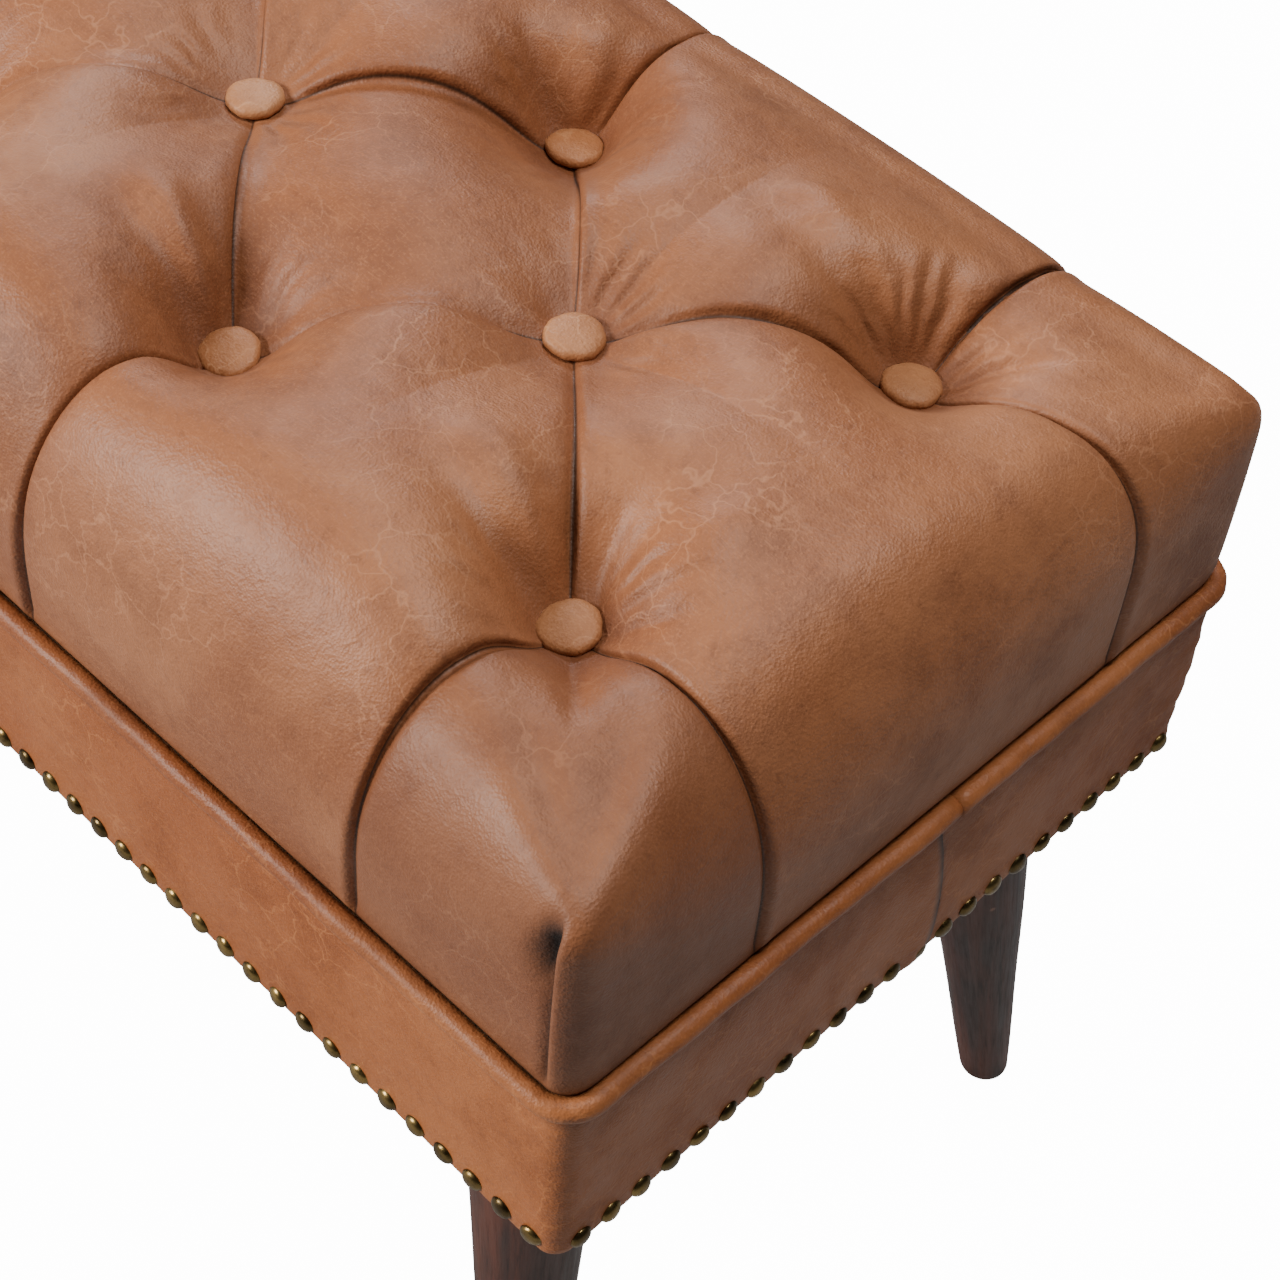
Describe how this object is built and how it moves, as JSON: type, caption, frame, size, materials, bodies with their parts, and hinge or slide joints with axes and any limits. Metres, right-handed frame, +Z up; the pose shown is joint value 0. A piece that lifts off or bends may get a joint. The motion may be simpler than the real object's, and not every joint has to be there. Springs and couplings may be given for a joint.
{
  "type": "upholstered bench",
  "caption": "Long low bench with a deep-buttoned leather seat, piped seam, nail-trimmed leather band and splayed turned wooden legs.",
  "frame": {"origin": "on the floor, under the middle of the bench", "axes": "+X along the bench's length, +Y towards its back long side, +Z up"},
  "size_m": [1.0522, 0.3566, 0.4774],
  "materials": {
    "leather": "matt pull-up leather with a soft sheen",
    "piping": "matt pull-up leather",
    "wood_leg": "dark stained, satin lacquer",
    "frame_wood": "planed, bare",
    "plywood": "bare",
    "brass": "antique, darkened in the hollows",
    "steel": "zinc plated",
    "foam": "open-cell foam",
    "wadding": "polyester wadding",
    "black_cloth": "thin black non-woven cloth",
    "twine": "waxed cord"
  },
  "bodies": {
    "root": {"back_band": "leather", "back_rail": "frame_wood", "back_welt": "piping", "band_padding": "wadding", "button_shanks": "steel", "button_twines": "twine", "corner_block_back_left": "frame_wood", "corner_block_back_right": "frame_wood", "corner_block_front_left": "frame_wood", "corner_block_front_right": "frame_wood", "deck_screws": "steel", "dust_cover": "black_cloth", "dust_cover_staples": "steel", "frame_screws": "steel", "front_band": "leather", "front_rail": "frame_wood", "front_welt": "piping", "hanger_bolts": "steel", "left_cross_rail": "frame_wood", "left_end_rail": "frame_wood", "leg_back_left": "wood_leg", "leg_back_right": "wood_leg", "leg_front_left": "wood_leg", "leg_front_right": "wood_leg", "leg_plate_back_left": "steel", "leg_plate_back_right": "steel", "leg_plate_front_left": "steel", "leg_plate_front_right": "steel", "leg_plate_screws": "steel", "nails_back": "brass", "nails_front": "brass", "nails_left_end": "brass", "nails_right_end": "brass", "right_cross_rail": "frame_wood", "right_end_rail": "frame_wood", "seat_buttons_back_row": "leather", "seat_buttons_front_row": "leather", "seat_buttons_middle_row": "leather", "seat_cover": "leather", "seat_deck": "plywood", "seat_foam": "foam", "seat_wadding": "wadding", "twine_toggles": "frame_wood", "welt_cord": "twine"}
  },
  "joints": []
}
